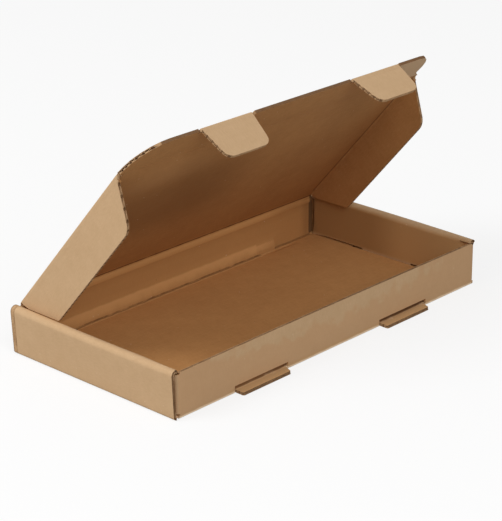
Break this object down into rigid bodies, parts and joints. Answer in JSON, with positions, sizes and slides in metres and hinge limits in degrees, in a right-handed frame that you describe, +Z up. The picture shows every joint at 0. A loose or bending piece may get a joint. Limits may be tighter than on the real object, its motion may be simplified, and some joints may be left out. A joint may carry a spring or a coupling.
{
  "type": "corrugated mailer box",
  "caption": "Shallow folded mailer box of kraft corrugated board, with rolled side walls and a hinged lid with side flaps, a front flap and tuck tabs, standing open.",
  "frame": {"origin": "middle of the tray's underside, on the surface that the box stands on", "axes": "+Z up, +X along the long side, the front wall with the lock slots at -Y, the lid's crease at +Y"},
  "size_m": [0.2218, 0.1145, 0.124],
  "materials": {
    "kraft_board": "matt unbleached kraft liner, lighter outside than inside"
  },
  "bodies": {
    "tray": {"tray": "kraft_board"},
    "lid": {"lid": "kraft_board"},
    "side_flap_left": {"side_flap_left": "kraft_board"},
    "side_flap_right": {"side_flap_right": "kraft_board"},
    "front_flap": {"front_flap": "kraft_board"},
    "tab_left": {"tab_left": "kraft_board"},
    "tab_right": {"tab_right": "kraft_board"}
  },
  "joints": [
    {"name": "lid_crease", "type": "hinge", "parent": "tray", "child": "lid", "pos_m": [0, 0.05425, 0.0245], "axis": [1, 0, 0], "range_deg": [-125, 49]},
    {"name": "side_flap_left_crease", "type": "hinge", "parent": "lid", "child": "side_flap_left", "pos_m": [-0.10435, 0.05425, 0.0245], "axis": [0, -0.6561, 0.7547], "range_deg": [-90, 8]},
    {"name": "side_flap_right_crease", "type": "hinge", "parent": "lid", "child": "side_flap_right", "pos_m": [0.10435, 0.05425, 0.0245], "axis": [0, 0.6561, -0.7547], "range_deg": [-90, 8]},
    {"name": "front_flap_crease", "type": "hinge", "parent": "lid", "child": "front_flap", "pos_m": [0, -0.01811, 0.10774], "axis": [1, 0, 0], "range_deg": [-35.5, 84.5]},
    {"name": "tab_left_crease", "type": "hinge", "parent": "front_flap", "child": "tab_left", "pos_m": [-0.052, -0.034, 0.12282], "axis": [1, 0, 0], "range_deg": [-80, 10]},
    {"name": "tab_right_crease", "type": "hinge", "parent": "front_flap", "child": "tab_right", "pos_m": [0.052, -0.034, 0.12282], "axis": [1, 0, 0], "range_deg": [-71, 19]}
  ]
}
